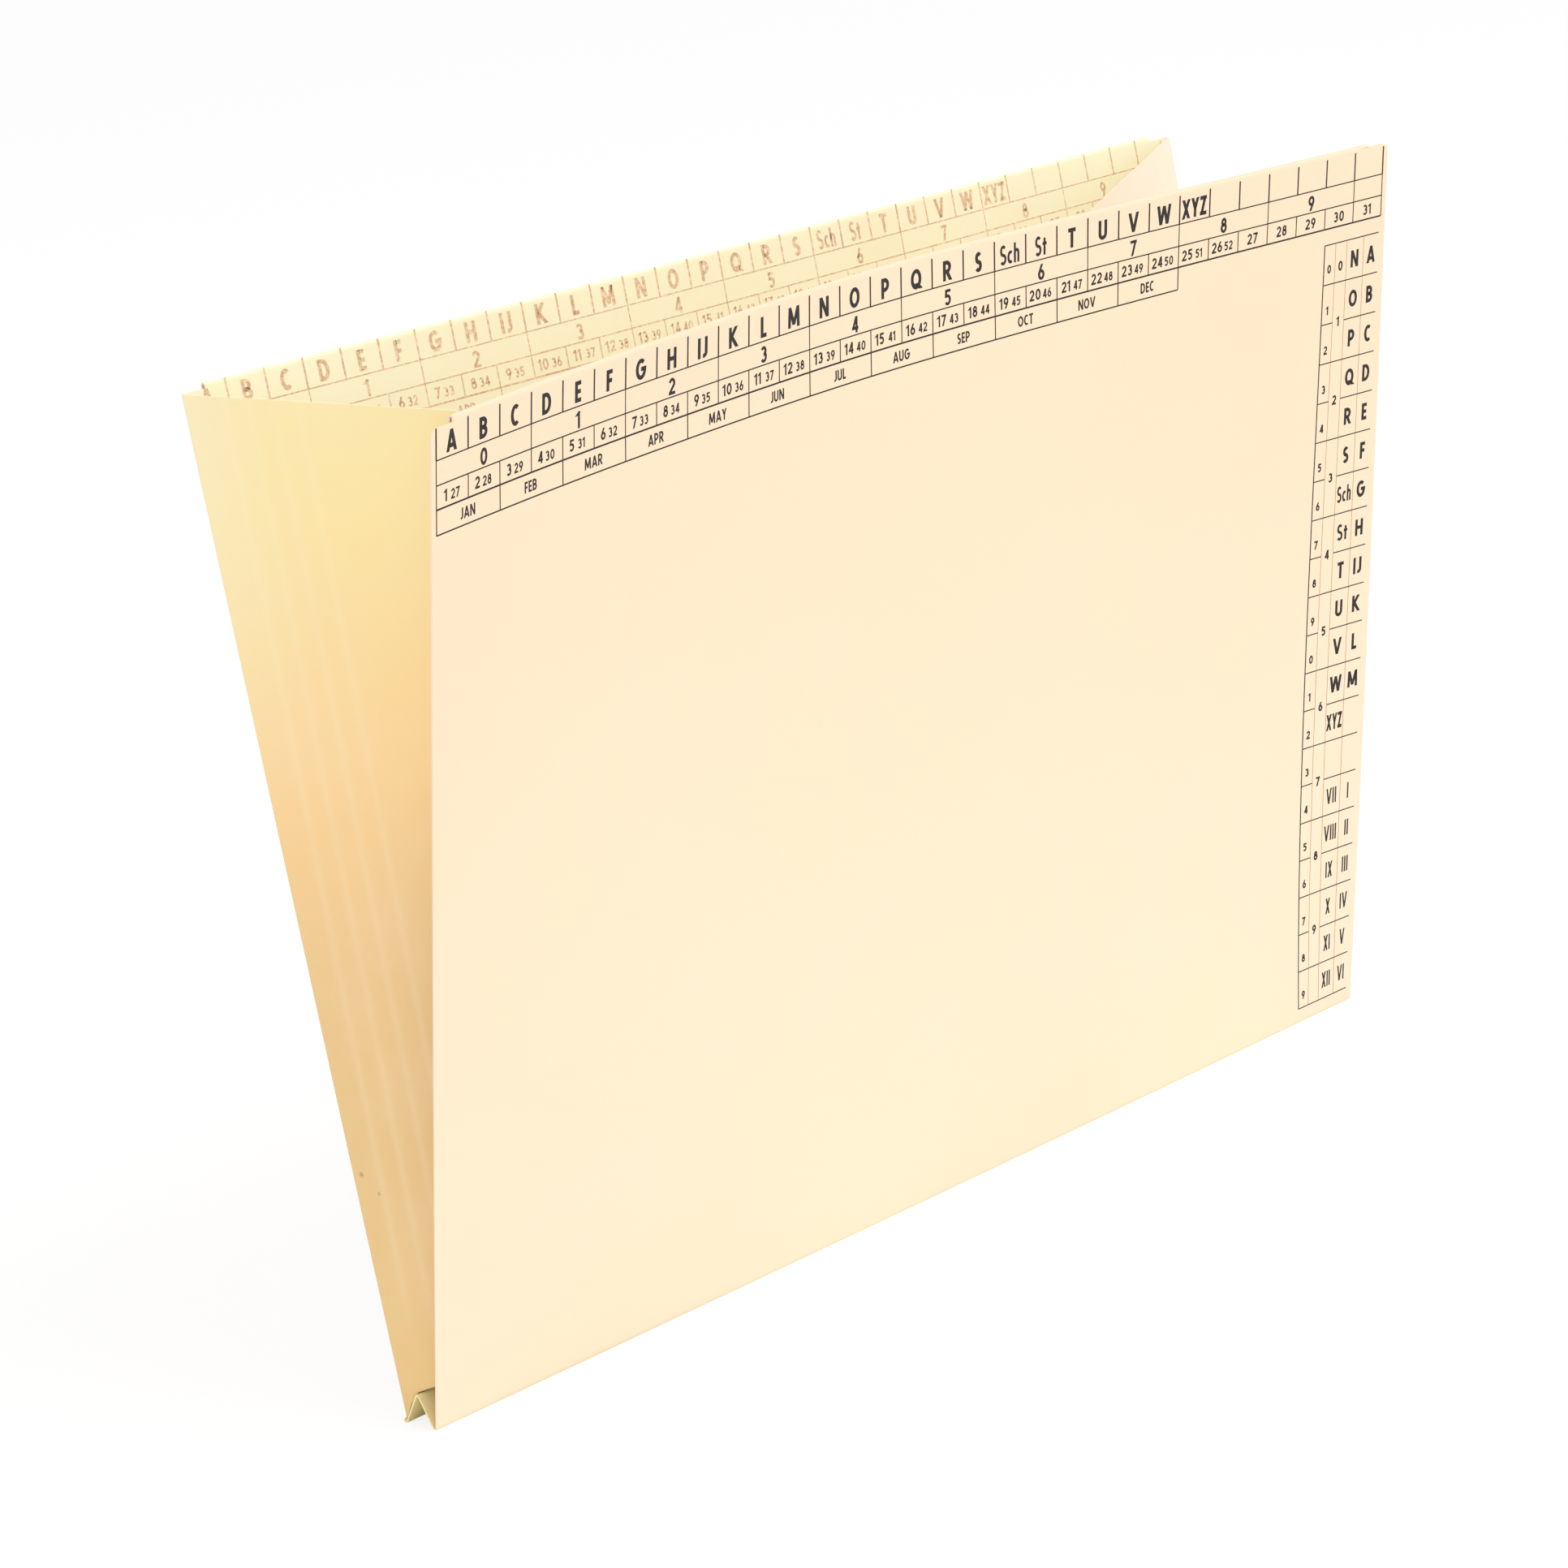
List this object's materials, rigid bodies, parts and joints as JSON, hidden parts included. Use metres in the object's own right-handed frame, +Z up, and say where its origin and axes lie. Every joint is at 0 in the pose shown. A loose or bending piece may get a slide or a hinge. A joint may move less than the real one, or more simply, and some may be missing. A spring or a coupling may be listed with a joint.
{
  "type": "organizer folder",
  "caption": "Landscape A4 card folder standing open as a V on a pleated foot, with hemmed top edges, a side flap across its left end and printed index tables.",
  "frame": {"origin": "centre of the folder's footprint box, on the surface that it stands on", "axes": "+X to the right along the folder as seen from its front panel, +Y from the front panel to the back panel, +Z up"},
  "size_m": [0.3168, 0.0766, 0.2168],
  "materials": {
    "card": "matte uncoated manila card"
  },
  "bodies": {
    "root": {"folder": "card"}
  },
  "joints": []
}
